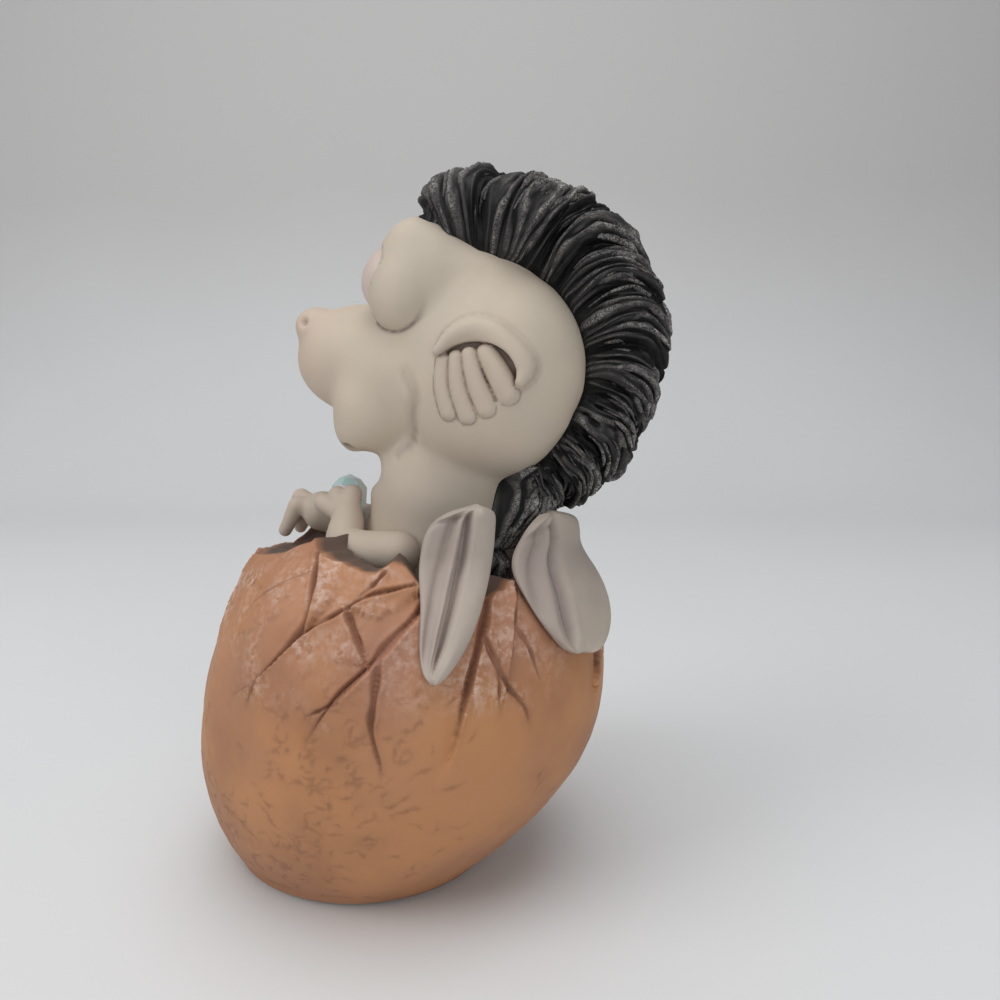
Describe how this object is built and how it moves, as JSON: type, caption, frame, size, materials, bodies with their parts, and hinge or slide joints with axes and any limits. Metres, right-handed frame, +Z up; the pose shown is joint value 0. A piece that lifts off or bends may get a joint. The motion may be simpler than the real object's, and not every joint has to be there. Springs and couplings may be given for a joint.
{
  "type": "dragon figurine",
  "caption": "Hatchling dragon ornament in a leaning, broken and cracked egg, with a combed dark mane, small wings over the rim and a crystal held at its chest; it stands on a flat felt pad.",
  "frame": {"origin": "middle of the underside of the base pad", "axes": "+Z up, the head looks along -Y, the dragon's left is +X; the egg leans towards +Y"},
  "size_m": [0.0548, 0.0681, 0.0979],
  "materials": {
    "felt": "dark felt pad",
    "shell": "cold-cast resin, terracotta paint with a brown wash and pale dry-brushing",
    "skin": "cold-cast resin, smooth cream-grey paint",
    "steel": "plain dowel",
    "mane": "cold-cast resin, charcoal paint dry-brushed grey",
    "wing": "cold-cast resin, cream-grey paint with a mauve wash in the folds",
    "crystal": "faceted iridescent glass",
    "eye": "glossy painted eye"
  },
  "bodies": {
    "root": {"base_felt": "felt", "egg_shell": "shell", "body": "skin", "head": "skin", "neck_pin": "steel", "mane_crest": "mane", "nape_mane": "mane", "left_wing": "wing", "right_wing": "wing", "left_arm": "skin", "right_arm": "skin", "crystal": "crystal", "left_eye": "eye", "right_eye": "eye"}
  },
  "joints": []
}
